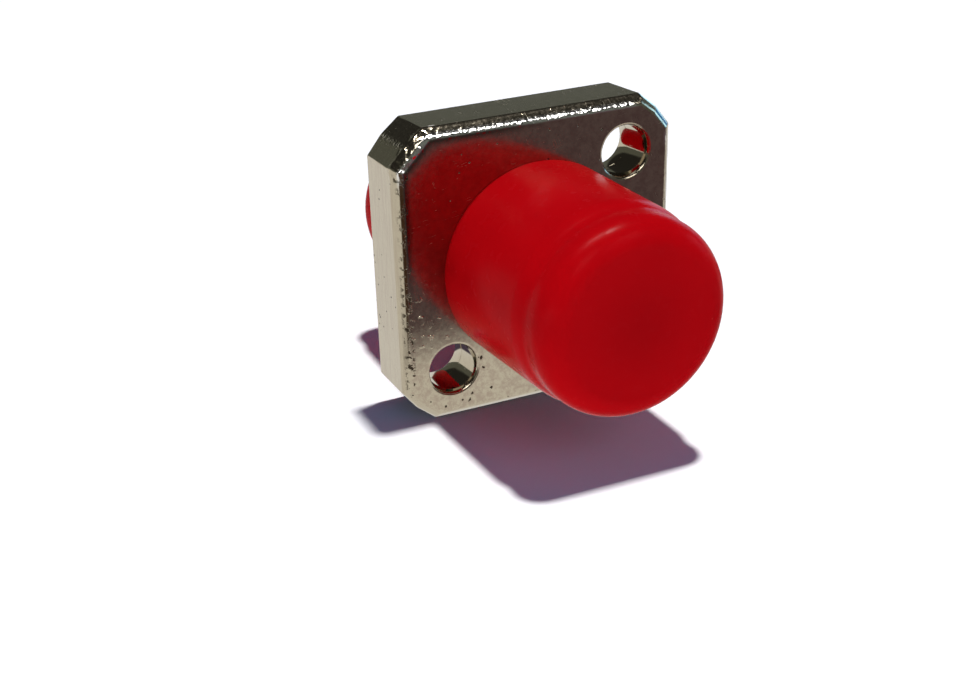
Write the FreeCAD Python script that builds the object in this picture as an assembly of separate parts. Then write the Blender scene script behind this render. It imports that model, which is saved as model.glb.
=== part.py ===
import FreeCAD, Part
import math
import os

# Simplex fibre adapter with a square flange, in millimetres.
# The optical axis is Y: -Y is the front, +Y the back, +Z up. The origin is on that axis, half way through
# the flange. Each barrel takes a screw-on plug with a 2.5 mm ferrule, and the two ferrules meet at the origin.

# Flange
flange_width = 14.0  # across the flats, both ways
flange_thickness = 3.2
corner_cut = 1.6  # what each corner takes off the two flats beside it
corner_ridge = 0.12  # how far the ridge across each corner stands out
flange_edge_bevel = 0.36  # round the front face
back_edge_break = 0.1
hole_spacing = 9.0  # between the two screw holes, along X and along Z
hole_diameter = 2.4
hole_rim_break = 0.08  # at the front
countersink_diameter = 3.7  # at the back, a 90 degree cone for flat screw heads

# Barrels, one on each face of the flange
thread_diameter = 8.0  # over the crests of the M8 x 0.75 thread
thread_depth = 0.46
barrel_length = 6.6  # past the flange's face
barrel_root_wall = 0.54  # left under the thread
barrel_mouth_chamfer = 0.35
thread_relief_width = 0.8  # plain neck beside the flange
web_thickness = 1.6  # wall that closes the bore in the middle
key_slot_width = 2.2
key_slot_length = 4.0

# Split alignment sleeve
ferrule_diameter = 2.5
sleeve_wall = 0.35
sleeve_length = 11.4
sleeve_slot_width = 0.5
sleeve_edge_chamfer = 0.12
sleeve_float = 0.05  # radial room, so that the sleeve lines itself up
sleeve_end_play = 0.1

# Sleeve holders, pressed into the web from both sides
holder_wall = 0.55
holder_lip_thickness = 0.6
lip_clearance = 0.1  # radial, round a ferrule
lip_lead_in = 0.3
holder_collar_thickness = 0.6
holder_collar_clearance = 0.2  # radial, inside the bore
press_gap = 0.01  # radial, in the web

# Dust caps of soft plastic, stretched over the barrels
cap_clearance = 0.05  # radial, over the thread
cap_rim_wall = 0.725
cap_rim_bevel = 0.15
cap_shoulder_wall = 0.54  # the wall thins towards the barrel's mouth
cap_shoulder_place = 0.2  # short of the barrel's mouth
cap_end_clearance = 0.05  # past the barrel's mouth
cap_tip_shrink = 0.3  # how much smaller the bore is past the barrel, where nothing stretches it
cap_tip_wall = 0.67
cap_tip_straight = 0.2  # from the groove to the rounded end edge
cap_groove_depth = 0.05  # below the tip
cap_groove_place = 0.35  # past the barrel's mouth
cap_groove_rise = 0.45  # from the groove's bottom to the tip's full size, along the axis
cap_end_edge_radius = 1.2
cap_end_wall = 1.0

# Sizes that several pieces share
flange_face = flange_thickness / 2
barrel_radius = thread_diameter / 2
barrel_root_radius = barrel_radius - thread_depth
bore_radius = barrel_root_radius - barrel_root_wall
barrel_mouth = flange_face + barrel_length
sleeve_inner_radius = ferrule_diameter / 2
sleeve_outer_radius = sleeve_inner_radius + sleeve_wall
holder_bore_radius = sleeve_outer_radius + sleeve_float
holder_radius = holder_bore_radius + holder_wall
web_bore_radius = holder_radius + press_gap
web_face = web_thickness / 2

ORIGIN = FreeCAD.Vector(0, 0, 0)
AXIS = FreeCAD.Vector(0, 1, 0)


def straight(points):
    """Straight edges through (radius, place along Y) points."""
    corners = [FreeCAD.Vector(radius, place, 0) for radius, place in points]
    return [Part.makeLine(start, end) for start, end in zip(corners, corners[1:])]


def revolved(edges):
    """A solid of revolution about the optical axis, from the edges of a closed outline."""
    return Part.Face(Part.Wire(edges)).revolve(ORIGIN, AXIS, 360)


def turned(points):
    """A solid of revolution with a straight-sided outline."""
    return revolved(straight(points + points[:1]))


def tube(outer, inner, start, end):
    """A plain tube, or a rod where inner is 0, along the optical axis."""
    return turned([(inner, start), (outer, start), (outer, end), (inner, end)])


def front_twin(shape):
    """The same piece on the front side of the flange."""
    return shape.mirror(ORIGIN, AXIS)


def flange_outline():
    """The square with a ridged face across each corner, as a wire on the flange's front face."""
    half = flange_width / 2
    flat = half - corner_cut
    ridge = half - corner_cut / 2 + corner_ridge / math.sqrt(2)
    edges = []
    for quarter in range(4):
        turn = FreeCAD.Rotation(AXIS, 90 * quarter)
        points = [(-flat, half), (flat, half), (ridge, ridge), (half, flat)]
        corners = [turn.multVec(FreeCAD.Vector(x, -flange_face, z)) for x, z in points]
        edges += [Part.makeLine(start, end) for start, end in zip(corners, corners[1:])]
    return Part.Wire(Part.__sortEdges__(edges))


def rim(plate, side):
    """The edges round one face of the flange plate: side is -1 at the front and 1 at the back."""
    edges = []
    for edge in plate.Edges:
        if all(vertex.Point.y * side > flange_face / 2 for vertex in edge.Vertexes):
            edges.append(edge)
    return edges


def flange():
    """The flange plate, with a bevel round its front face and a small break round its back face."""
    plate = Part.Face(flange_outline()).extrude(AXIS * flange_thickness)
    bevelled = plate.makeChamfer(flange_edge_bevel, rim(plate, -1))
    return bevelled.makeChamfer(back_edge_break, rim(bevelled, 1))


def rear_barrel():
    """The barrel's outside: a plain neck at the thread's root, then the thread's crests and a chamfered mouth."""
    neck_end = flange_face + thread_relief_width
    return turned([
        (0, 0),
        (barrel_root_radius, 0),
        (barrel_root_radius, neck_end),
        (barrel_radius, neck_end + thread_depth / 2),
        (barrel_radius, barrel_mouth - barrel_mouth_chamfer),
        (barrel_radius - barrel_mouth_chamfer, barrel_mouth),
        (0, barrel_mouth),
    ])


def rear_bore():
    """The plug's room in the rear barrel, with the key slot that stops the plug from turning."""
    bore = tube(bore_radius, 0, web_face, barrel_mouth + barrel_length)
    slot = Part.makeBox(
        key_slot_width,
        key_slot_length * 2,
        thread_diameter,
        FreeCAD.Vector(-key_slot_width / 2, barrel_mouth - key_slot_length, 0),
    )
    return bore.fuse(slot)


def screw_hole(side):
    """One screw hole through the flange, on the diagonal and countersunk at the back; side is 1 or -1."""
    radius = hole_diameter / 2
    rim = radius + hole_rim_break
    head = countersink_diameter / 2
    place = FreeCAD.Vector(side * hole_spacing / 2, 0, side * hole_spacing / 2)
    hole = turned([
        (0, -flange_face),
        (rim, -flange_face),
        (radius, hole_rim_break - flange_face),
        (radius, flange_face - (head - radius)),
        (head, flange_face),
        (0, flange_face),
    ])
    hole.translate(place)
    return hole


def flange_body():
    """The one-piece body: flange, both barrels and the web between them, with every hole cut."""
    barrel = rear_barrel()
    bore = rear_bore()
    body = flange().fuse([barrel, front_twin(barrel)]).removeSplitter()
    web_bore = tube(web_bore_radius, 0, -flange_thickness, flange_thickness)
    cuts = [bore, front_twin(bore), web_bore, screw_hole(1), screw_hole(-1)]
    return body.cut(cuts)


def rear_sleeve_holder():
    """Half of the sleeve's cage: a tube from the middle of the web, a collar on the web, and a lip at the nose."""
    cage_end = sleeve_length / 2 + sleeve_end_play
    nose = cage_end + holder_lip_thickness
    collar_radius = bore_radius - holder_collar_clearance
    collar_end = web_face + holder_collar_thickness
    lip_radius = sleeve_inner_radius + lip_clearance
    return turned([
        (holder_bore_radius, 0),
        (holder_radius, 0),
        (holder_radius, web_face),
        (collar_radius, web_face),
        (collar_radius, collar_end),
        (holder_radius, collar_end),
        (holder_radius, nose),
        (lip_radius + lip_lead_in, nose),
        (lip_radius, nose - lip_lead_in),
        (lip_radius, cage_end),
        (holder_bore_radius, cage_end),
    ])


def alignment_sleeve():
    """The split sleeve, with its slot at the bottom and its edges eased."""
    end = sleeve_length / 2
    ease = sleeve_edge_chamfer
    ring = turned([
        (sleeve_inner_radius, -end),
        (sleeve_outer_radius - ease, -end),
        (sleeve_outer_radius, ease - end),
        (sleeve_outer_radius, end - ease),
        (sleeve_outer_radius - ease, end),
        (sleeve_inner_radius, end),
    ])
    slot = Part.makeBox(
        sleeve_slot_width,
        sleeve_length,
        sleeve_outer_radius,
        FreeCAD.Vector(-sleeve_slot_width / 2, -end, -sleeve_outer_radius),
    )
    return ring.cut(slot)


def rear_dust_cap():
    """The soft cap: full over the barrel, then a shallow groove and a smaller, rounded tip past its mouth."""
    bore = barrel_radius + cap_clearance
    rim = bore + cap_rim_wall
    seat = barrel_mouth + cap_end_clearance
    tip_bore = bore - cap_tip_shrink
    tip = tip_bore + cap_tip_wall
    groove = barrel_mouth + cap_groove_place
    tip_start = groove + cap_groove_rise
    edge_start = tip_start + cap_tip_straight
    end = edge_start + cap_end_edge_radius
    end_flat = tip - cap_end_edge_radius
    edge_bow = cap_end_edge_radius / math.sqrt(2)
    side = straight([
        (bore, flange_face),
        (rim - cap_rim_bevel, flange_face),
        (rim, flange_face + cap_rim_bevel),
        (bore + cap_shoulder_wall, barrel_mouth - cap_shoulder_place),
        (tip - cap_groove_depth, groove),
        (tip, tip_start),
        (tip, edge_start),
    ])
    end_edge = Part.Arc(
        FreeCAD.Vector(tip, edge_start, 0),
        FreeCAD.Vector(end_flat + edge_bow, edge_start + edge_bow, 0),
        FreeCAD.Vector(end_flat, end, 0),
    )
    inside = straight([
        (end_flat, end),
        (0, end),
        (0, end - cap_end_wall),
        (tip_bore, end - cap_end_wall),
        (tip_bore, seat),
        (bore, seat),
        (bore, flange_face),
    ])
    # As a spline, the rounded edge takes fewer facets than as a torus.
    return revolved(side + [end_edge.toBSpline().toShape()] + inside)


rear_holder = rear_sleeve_holder()
rear_cap = rear_dust_cap()
nodes = {
    "flange_body": flange_body(),
    "front_sleeve_holder": front_twin(rear_holder),
    "rear_sleeve_holder": rear_holder,
    "alignment_sleeve": alignment_sleeve(),
    "front_dust_cap": front_twin(rear_cap),
    "rear_dust_cap": rear_cap,
}

os.makedirs("parts", exist_ok=True)
for name, shape in nodes.items():
    shape.exportStep("parts/" + name + ".step")
    print(name, len(shape.Solids), "solid", round(shape.Volume, 3), "mm3", "valid" if shape.isValid() else "invalid")
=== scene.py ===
import math
from types import SimpleNamespace

import bmesh
import bpy
from mathutils import Matrix, Vector


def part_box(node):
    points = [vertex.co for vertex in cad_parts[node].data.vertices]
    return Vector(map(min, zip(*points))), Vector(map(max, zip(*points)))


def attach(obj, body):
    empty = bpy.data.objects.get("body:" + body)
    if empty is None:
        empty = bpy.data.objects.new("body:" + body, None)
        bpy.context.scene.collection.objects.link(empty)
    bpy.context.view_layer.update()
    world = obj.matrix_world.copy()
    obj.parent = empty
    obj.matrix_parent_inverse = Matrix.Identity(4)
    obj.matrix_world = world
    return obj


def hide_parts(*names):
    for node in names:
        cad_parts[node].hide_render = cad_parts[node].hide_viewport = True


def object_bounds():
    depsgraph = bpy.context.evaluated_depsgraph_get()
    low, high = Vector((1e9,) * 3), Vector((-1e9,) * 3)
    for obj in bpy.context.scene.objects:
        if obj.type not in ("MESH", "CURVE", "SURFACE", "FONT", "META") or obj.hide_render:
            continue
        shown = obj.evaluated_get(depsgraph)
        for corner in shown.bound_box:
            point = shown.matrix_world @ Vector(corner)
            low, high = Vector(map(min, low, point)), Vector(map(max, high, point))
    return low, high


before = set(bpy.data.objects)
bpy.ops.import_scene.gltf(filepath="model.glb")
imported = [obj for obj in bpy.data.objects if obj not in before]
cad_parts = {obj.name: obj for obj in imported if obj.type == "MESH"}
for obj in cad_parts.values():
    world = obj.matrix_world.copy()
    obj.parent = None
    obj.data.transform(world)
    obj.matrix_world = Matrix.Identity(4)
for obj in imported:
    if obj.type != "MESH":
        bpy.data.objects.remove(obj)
cad_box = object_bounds()

# Body
# A square flange with a threaded barrel on each face, cast as one piece, drilled, and plated with bright nickel.
# The barrels' bores meet a web in the middle, and each barrel has a slot at the top for the plug's key.
MM = 0.001  # meshes are modelled in millimetres, and become metres when they are finished
FLANGE_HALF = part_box("flange_body")[1].x / MM
BARREL_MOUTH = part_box("flange_body")[1].y / MM
FLANGE_FACE = 1.6  # from the middle of the flange
CORNER_CUT = 1.6
CORNER_RIDGE = 0.12
EDGE_BEVEL = 0.36  # round the front face
EDGE_SOFTNESS = 0.15  # round the front bevel
CROSS_SOFTNESS = 0.05  # of the edges across the flange
BACK_BREAK = 0.1
HOLE_PLACE = 4.5  # from the optical axis, along X and along Z
HOLE_RADIUS = 1.2
HOLE_RIM = 0.08
HOLE_STEP = 0.006  # where the drill came through from the back
HOLE_STEP_PLACE = 0.2
HOLE_STEP_LENGTH = 0.004
COUNTERSINK_RADIUS = 1.85
CREST_RADIUS = 4.0
ROOT_RADIUS = 3.54
THREAD_PITCH = 0.75
THREAD_ROWS = 18  # to one pitch
THREAD_ROOT_FLAT = 0.16  # shares of half a pitch
THREAD_FLANK = 0.68
NECK_END = 2.4
THREAD_FADE = 0.35
MOUTH_CHAMFER = 0.35
BORE_RADIUS = 3.0
BORE_LEAD_IN = 0.12
WEB_FACE = 0.8
WEB_BORE = 2.21
KEY_WIDTH = 2.2
KEY_END = 4.2
TURN_STEPS = 144
HOLE_STEPS = 96
SOFT_SEGMENTS = 4
ROUND_STEP = 0.07  # the longest straight step on a rounded corner
QUARTER_ARC = 1.6  # about the length of a rounded right angle, over its radius
MERGE = 0.002
MERGE_ORDER = Vector((0.37, 0.61, 0.70))  # points are sorted along this before they merge, so that runs hardly differ
SHARP = math.radians(50)
FLAT_WEIGHT = 80
AXIS = (0, 1, 0)


def chain(points, closed):
    """Straight edges through (radius, place along Y, rounding) points, with each corner rounded as it says."""
    bm = bmesh.new()
    corners = [bm.verts.new((radius, place, 0)) for radius, place, rounding in points]
    followers = corners[1:] + corners[:1] if closed else corners[1:]
    for start, end in zip(corners, followers):
        bm.edges.new((start, end))
    for corner, (radius, place, rounding) in zip(corners, points):
        if rounding:
            bmesh.ops.bevel(
                bm,
                geom=[corner],
                offset=rounding,
                offset_type="OFFSET",
                segments=math.ceil(rounding * QUARTER_ARC / ROUND_STEP),
                profile=0.5,
                affect="VERTICES",
                material=-1,
            )
    return bm


def turned(points, closed=True, steps=TURN_STEPS):
    """A section spun all the way round the optical axis. An open section starts and ends on that axis."""
    bm = chain(points, closed)
    bmesh.ops.spin(
        bm,
        geom=bm.verts[:] + bm.edges[:],
        cent=(0, 0, 0),
        axis=AXIS,
        angle=math.tau,
        steps=steps,
        use_merge=True,
    )
    bmesh.ops.remove_doubles(bm, verts=bm.verts, dist=MERGE)
    bmesh.ops.recalc_face_normals(bm, faces=bm.faces)
    return bm


def rim(bm, place):
    """The edges that lie at one place along Y."""
    return [edge for edge in bm.edges if all(abs(vertex.co.y - place) < MERGE for vertex in edge.verts)]


def mesh_object(bm, name):
    mesh = bpy.data.meshes.new(name)
    bm.to_mesh(mesh)
    bm.free()
    made = bpy.data.objects.new(name, mesh)
    bpy.context.scene.collection.objects.link(made)
    return made


def evaluated(made):
    """The mesh that an object's modifiers give; the object itself is removed."""
    bm = bmesh.new()
    bm.from_mesh(made.evaluated_get(bpy.context.evaluated_depsgraph_get()).to_mesh())
    bpy.data.objects.remove(made)
    return bm


def cut(solid_bm, tool_bm):
    """The first closed mesh with the second cut out of it."""
    solid = mesh_object(solid_bm, "solid")
    tool = mesh_object(tool_bm, "tool")
    difference = solid.modifiers.new("cut", "BOOLEAN")
    difference.operation = "DIFFERENCE"
    difference.solver = "EXACT"
    difference.object = tool
    bm = evaluated(solid)
    bpy.data.objects.remove(tool)
    return bm


def take_in(bm, other):
    """Adds another mesh to this one."""
    passing = bpy.data.meshes.new("passing")
    other.to_mesh(passing)
    other.free()
    bm.from_mesh(passing)
    bpy.data.meshes.remove(passing)


def flange_plate():
    """The square with a ridge across each corner, bevelled round its front face, and every edge a little soft."""
    bm = bmesh.new()
    flat = FLANGE_HALF - CORNER_CUT
    ridge = FLANGE_HALF - CORNER_CUT / 2 + CORNER_RIDGE / math.sqrt(2)
    outline = []
    for quarter in range(4):
        turn = Matrix.Rotation(quarter * math.tau / 4, 3, "Y")
        for x, z in ((-flat, FLANGE_HALF), (flat, FLANGE_HALF), (ridge, ridge)):
            outline.append(bm.verts.new(turn @ Vector((x, -FLANGE_FACE, z))))
    front = bm.faces.new(outline)
    grown = bmesh.ops.extrude_face_region(bm, geom=[front])["geom"]
    back = [part for part in grown if isinstance(part, bmesh.types.BMVert)]
    bmesh.ops.translate(bm, verts=back, vec=(0, 2 * FLANGE_FACE, 0))
    bmesh.ops.recalc_face_normals(bm, faces=bm.faces)
    bmesh.ops.bevel(
        bm,
        geom=rim(bm, -FLANGE_FACE),
        offset=EDGE_BEVEL,
        offset_type="OFFSET",
        segments=1,
        profile=0.5,
        affect="EDGES",
        material=-1,
    )
    widths = bm.edges.layers.float.new("bevel_weight_edge")
    for edge in bm.edges:
        edge[widths] = CROSS_SOFTNESS / EDGE_SOFTNESS
    for edge in rim(bm, -FLANGE_FACE) + rim(bm, EDGE_BEVEL - FLANGE_FACE):
        edge[widths] = 1
    for edge in rim(bm, FLANGE_FACE):
        edge[widths] = BACK_BREAK / EDGE_SOFTNESS
    plate = mesh_object(bm, "plate")
    softness = plate.modifiers.new("softness", "BEVEL")
    softness.limit_method = "WEIGHT"
    softness.width = EDGE_SOFTNESS
    softness.segments = SOFT_SEGMENTS
    return evaluated(plate)


def flange_holes():
    """The cutters: two screw holes, countersunk at the back, and the round opening that the barrels fill."""
    deep = FLANGE_FACE + HOLE_RIM
    cone_start = FLANGE_FACE - (COUNTERSINK_RADIUS - HOLE_RADIUS)
    bm = turned([(0, -deep, 0), (ROOT_RADIUS, -deep, 0), (ROOT_RADIUS, deep, 0), (0, deep, 0)], closed=False)
    for side in (1, -1):
        hole = turned(
            [
                (0, -deep, 0),
                (HOLE_RADIUS + 2 * HOLE_RIM, -deep, 0),
                (HOLE_RADIUS, HOLE_RIM - FLANGE_FACE, HOLE_RIM),
                (HOLE_RADIUS, HOLE_STEP_PLACE, 0),
                (HOLE_RADIUS - HOLE_STEP, HOLE_STEP_PLACE + HOLE_STEP_LENGTH, 0),
                (HOLE_RADIUS - HOLE_STEP, cone_start - HOLE_STEP, 0.03),
                (COUNTERSINK_RADIUS + HOLE_RIM, deep, 0),
                (0, deep, 0),
            ],
            closed=False,
            steps=HOLE_STEPS,
        )
        bmesh.ops.translate(hole, verts=hole.verts, vec=(side * HOLE_PLACE, 0, side * HOLE_PLACE))
        take_in(bm, hole)
    return bm


def cut_thread(bm):
    """Sinks a right-hand thread into the crest cylinder. It fades out at the neck and under the mouth's chamfer."""
    depth = CREST_RADIUS - ROOT_RADIUS
    for vertex in bm.verts:
        radius = math.hypot(vertex.co.x, vertex.co.z)
        place = vertex.co.y
        if radius < ROOT_RADIUS + MERGE or place < NECK_END:
            continue
        turns = place / THREAD_PITCH - math.atan2(vertex.co.x, vertex.co.z) / math.tau
        rise = 1 - abs(2 * (turns % 1) - 1)
        flank = min(max((rise - THREAD_ROOT_FLAT) / THREAD_FLANK, 0), 1)
        tooth = flank * flank * (3 - 2 * flank)
        fade = min((place - NECK_END) / THREAD_FADE, 1)
        cut_radius = min(ROOT_RADIUS + depth * tooth * fade, radius)
        vertex.co.x *= cut_radius / radius
        vertex.co.z *= cut_radius / radius


def rear_barrel():
    """The rear barrel with half of the web, open where it grows out of the flange and at the middle of the web."""
    thread_end = BARREL_MOUTH - MOUTH_CHAMFER
    rows = math.ceil((thread_end - NECK_END) / THREAD_PITCH * THREAD_ROWS)
    row_height = (thread_end - NECK_END) / rows
    chamfer_rows = math.ceil(MOUTH_CHAMFER / row_height)
    section = [(ROOT_RADIUS, 0, 0), (ROOT_RADIUS, FLANGE_FACE, 0), (ROOT_RADIUS, NECK_END, 0)]
    section += [(CREST_RADIUS, NECK_END + row_height * row, 0) for row in range(1, rows + 1)]
    for row in range(1, chamfer_rows + 1):
        sunk = MOUTH_CHAMFER * row / chamfer_rows
        section.append((CREST_RADIUS - sunk, thread_end + sunk, 0))
    section += [
        (BORE_RADIUS + BORE_LEAD_IN, BARREL_MOUTH, 0.03),
        (BORE_RADIUS, BARREL_MOUTH - BORE_LEAD_IN, 0.03),
        (BORE_RADIUS, WEB_FACE, 0.1),
        (WEB_BORE, WEB_FACE, 0.06),
        (WEB_BORE, 0, 0),
    ]
    bm = turned(section)
    cut_thread(bm)
    key = bmesh.new()
    bmesh.ops.create_cube(key, size=1)
    key_length = BARREL_MOUTH - KEY_END + 1
    bmesh.ops.scale(key, verts=key.verts, vec=(KEY_WIDTH, key_length, CREST_RADIUS))
    bmesh.ops.translate(key, verts=key.verts, vec=(0, KEY_END + key_length / 2, CREST_RADIUS))
    bm = cut(bm, key)
    buried = []
    for face in bm.faces:
        middle = face.calc_center_median()
        inside_flange = middle.y < FLANGE_FACE and math.hypot(middle.x, middle.z) > BORE_RADIUS + BORE_LEAD_IN
        if inside_flange or middle.y < MERGE:
            buried.append(face)
    bmesh.ops.delete(bm, geom=buried, context="FACES")
    return bm


def swing(bm, angle):
    """Turns a piece about Z; half way round, a rear piece becomes a front one."""
    bmesh.ops.rotate(bm, verts=bm.verts, cent=(0, 0, 0), matrix=Matrix.Rotation(angle, 3, "Z"))


def body_mesh():
    """Flange and barrels as one closed skin."""
    bm = cut(flange_plate(), flange_holes())
    opening = []
    for face in bm.faces:
        middle = face.calc_center_median()
        if math.hypot(middle.x, middle.z) < ROOT_RADIUS + MERGE and abs(face.normal.y) < 0.5:
            opening.append(face)
    bmesh.ops.delete(bm, geom=opening, context="FACES")
    for half_turn in (0, math.pi):
        barrel = rear_barrel()
        swing(barrel, half_turn)
        take_in(bm, barrel)
    bm.verts.sort(key=lambda vertex: vertex.co.dot(MERGE_ORDER))
    bmesh.ops.remove_doubles(bm, verts=bm.verts, dist=MERGE)
    return bm


def finished(bm, name, material, body):
    """A piece in metres, smooth apart from its sharp edges, with its flat faces kept flat, on a body of the frame."""
    bmesh.ops.scale(bm, verts=bm.verts, vec=(MM, MM, MM))
    for face in bm.faces:
        face.smooth = True
    for edge in bm.edges:
        edge.smooth = edge.calc_face_angle(0) < SHARP
    piece = mesh_object(bm, name)
    piece.data.materials.append(material)
    flats = piece.modifiers.new("flat faces", "WEIGHTED_NORMAL")
    flats.keep_sharp = True
    flats.weight = FLAT_WEIGHT
    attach(piece, body)
    return piece


def plug(tree, socket, value):
    """Links another node's output to a socket, or sets the socket's own value."""
    if isinstance(value, bpy.types.NodeSocket):
        tree.links.new(value, socket)
    else:
        socket.default_value = value


def add(tree, kind, inputs=None, **settings):
    made = tree.nodes.new(kind)
    for name, value in settings.items():
        setattr(made, name, value)
    for name, value in (inputs or {}).items():
        plug(tree, made.inputs[name], value)
    return made


def calc(tree, operation, *values, clamp=False):
    made = add(tree, "ShaderNodeMath", operation=operation, use_clamp=clamp)
    for socket, value in zip(made.inputs, values):
        plug(tree, socket, value)
    return made.outputs[0]


def ramp(tree, value, low, high, to_low=0.0, to_high=1.0):
    """A smooth step from to_low to to_high while the value goes from low to high."""
    inputs = {"Value": value, "From Min": low, "From Max": high, "To Min": to_low, "To Max": to_high}
    return add(tree, "ShaderNodeMapRange", inputs, interpolation_type="SMOOTHSTEP").outputs["Result"]


def within(tree, distance, full, end, most=1.0):
    """A mask that is full up to one distance and gone from the other on, in millimetres."""
    return ramp(tree, distance, full * MM, end * MM, most, 0.0)


def beyond(tree, distance, start, full, least=0.0):
    """A mask that grows from one distance to the other and stays full past it, in millimetres."""
    return ramp(tree, distance, start * MM, full * MM, least, 1.0)


def product(tree, first, *others):
    for other in others:
        first = calc(tree, "MULTIPLY", first, other)
    return first


def hypotenuse(tree, first, second):
    squares = calc(tree, "ADD", calc(tree, "POWER", first, 2.0), calc(tree, "POWER", second, 2.0))
    return calc(tree, "SQRT", squares)


def split(tree, vector):
    return add(tree, "ShaderNodeSeparateXYZ", {"Vector": vector}).outputs


def scaled(tree, vector, factors):
    return add(tree, "ShaderNodeVectorMath", {0: vector, 1: factors}, operation="MULTIPLY").outputs[0]


def away_from(tree, vector, point):
    """The distance from a point that is given in millimetres."""
    point = tuple(part * MM for part in point)
    return add(tree, "ShaderNodeVectorMath", {0: vector, 1: point}, operation="DISTANCE").outputs["Value"]


def blended(tree, share, first, second):
    """The first colour, going over to the second as the share goes from 0 to 1."""
    made = add(tree, "ShaderNodeMix", data_type="RGBA")
    for socket, value in zip((0, 6, 7), (share, first, second)):
        plug(tree, made.inputs[socket], value)
    return made.outputs[2]


def noise(tree, vector, size, detail=2.0, roughness=0.5, output="Fac"):
    """Noise with patches of about this size, in millimetres."""
    inputs = {"Vector": vector, "Scale": 1 / (size * MM), "Detail": detail, "Roughness": roughness}
    return add(tree, "ShaderNodeTexNoise", inputs).outputs[output]


def bumps(tree, vector, size, detail):
    """Noise that goes as far below 0 as above it."""
    return calc(tree, "SUBTRACT", noise(tree, vector, size, detail), 0.5)


def effect(name, inputs, outputs):
    """An empty node group with number inputs beside Vector, and its input and output nodes."""
    group = bpy.data.node_groups.new(name, "ShaderNodeTree")
    group.interface.new_socket("Vector", in_out="INPUT", socket_type="NodeSocketVector")
    for label in inputs:
        group.interface.new_socket(label, in_out="INPUT", socket_type="NodeSocketFloat")
    for label in outputs:
        group.interface.new_socket(label, in_out="OUTPUT", socket_type="NodeSocketFloat")
    return group, group.nodes.new("NodeGroupInput").outputs, group.nodes.new("NodeGroupOutput").inputs


def pits_effect():
    """Round pits or specks scattered one to a cell. Share says how many of the cells have one."""
    group, given, result = effect("Pits", ["Cells", "Share", "Size"], ["Mask"])
    cells = add(group, "ShaderNodeTexVoronoi", {"Vector": given["Vector"], "Scale": given["Cells"]})
    draw = add(group, "ShaderNodeSeparateColor", {"Color": cells.outputs["Color"]}).outputs[0]
    luck = calc(group, "SUBTRACT", given["Share"], draw, clamp=True)
    spread = calc(group, "DIVIDE", luck, calc(group, "MAXIMUM", given["Share"], LEAST_SHARE))
    reach = calc(group, "MULTIPLY", calc(group, "SQRT", spread), given["Size"])
    inside = calc(group, "SUBTRACT", reach, cells.outputs["Distance"])
    plug(group, result["Mask"], calc(group, "MULTIPLY", inside, PIT_RIM, clamp=True))
    return group


def scratches_effect():
    """Thin scratches, each family along one direction of its stretched noise, broken into short runs."""
    group, given, result = effect("Scratches", ["Fineness", "Turn", "Share"], ["Mask"])
    turned_vector = add(
        group,
        "ShaderNodeVectorRotate",
        {"Vector": given["Vector"], "Axis": SCRATCH_AXIS, "Angle": given["Turn"]},
    ).outputs[0]
    drawn_out = scaled(group, turned_vector, SCRATCH_STRETCH)
    lines = add(group, "ShaderNodeTexNoise", {"Vector": drawn_out, "Scale": given["Fineness"], "Detail": 0.0})
    off_line = calc(group, "ABSOLUTE", calc(group, "SUBTRACT", lines.outputs["Fac"], 0.5))
    line = ramp(group, off_line, 0.0, SCRATCH_WIDTH, 1.0, 0.0)
    runs_scale = calc(group, "MULTIPLY", given["Fineness"], RUN_FINENESS)
    runs = add(group, "ShaderNodeTexNoise", {"Vector": turned_vector, "Scale": runs_scale, "Detail": 1.0})
    floor = calc(group, "SUBTRACT", RUN_RAREST, calc(group, "MULTIPLY", given["Share"], RUN_GAIN))
    kept = ramp(group, runs.outputs["Fac"], floor, calc(group, "ADD", floor, RUN_FADE))
    plug(group, result["Mask"], calc(group, "MULTIPLY", line, kept))
    return group


def placed(tree, group, output, **inputs):
    """One output of a node group that is placed in a material with its own values."""
    made = add(tree, "ShaderNodeGroup", inputs, node_tree=group)
    return made.outputs[output]


def new_material(name):
    """A material with a Principled shader, its node tree, and the Object coordinates in metres."""
    material = bpy.data.materials.new(name)
    material.use_nodes = True
    tree = material.node_tree
    shader = tree.nodes["Principled BSDF"]
    place = add(tree, "ShaderNodeTexCoord").outputs["Object"]
    return material, tree, shader, place


def relief(tree, height, depth, under=None):
    """A bump whose height of 1 is this depth, in millimetres."""
    bump = add(tree, "ShaderNodeBump", {"Height": height, "Strength": 1.0, "Distance": depth * MM})
    if under is not None:
        plug(tree, bump.inputs["Normal"], under)
    return bump.outputs["Normal"]


def from_hole_axis(tree, x, z):
    """The distance from the axis of the nearer screw hole; both holes lie on one diagonal."""
    past = calc(tree, "SUBTRACT", calc(tree, "ABSOLUTE", calc(tree, "ADD", x, z)), 2 * HOLE_PLACE * MM)
    aside = calc(tree, "SUBTRACT", x, z)
    return calc(tree, "MULTIPLY", hypotenuse(tree, past, aside), math.sqrt(0.5))


def hole_walls(tree, from_hole, along):
    """1 on the walls of the drilled screw holes."""
    near = calc(tree, "LESS_THAN", from_hole, (HOLE_RADIUS + HOLE_RIM / 2) * MM)
    return calc(tree, "MULTIPLY", near, calc(tree, "LESS_THAN", along, (FLANGE_FACE - HOLE_RIM / 2) * MM))


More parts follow.
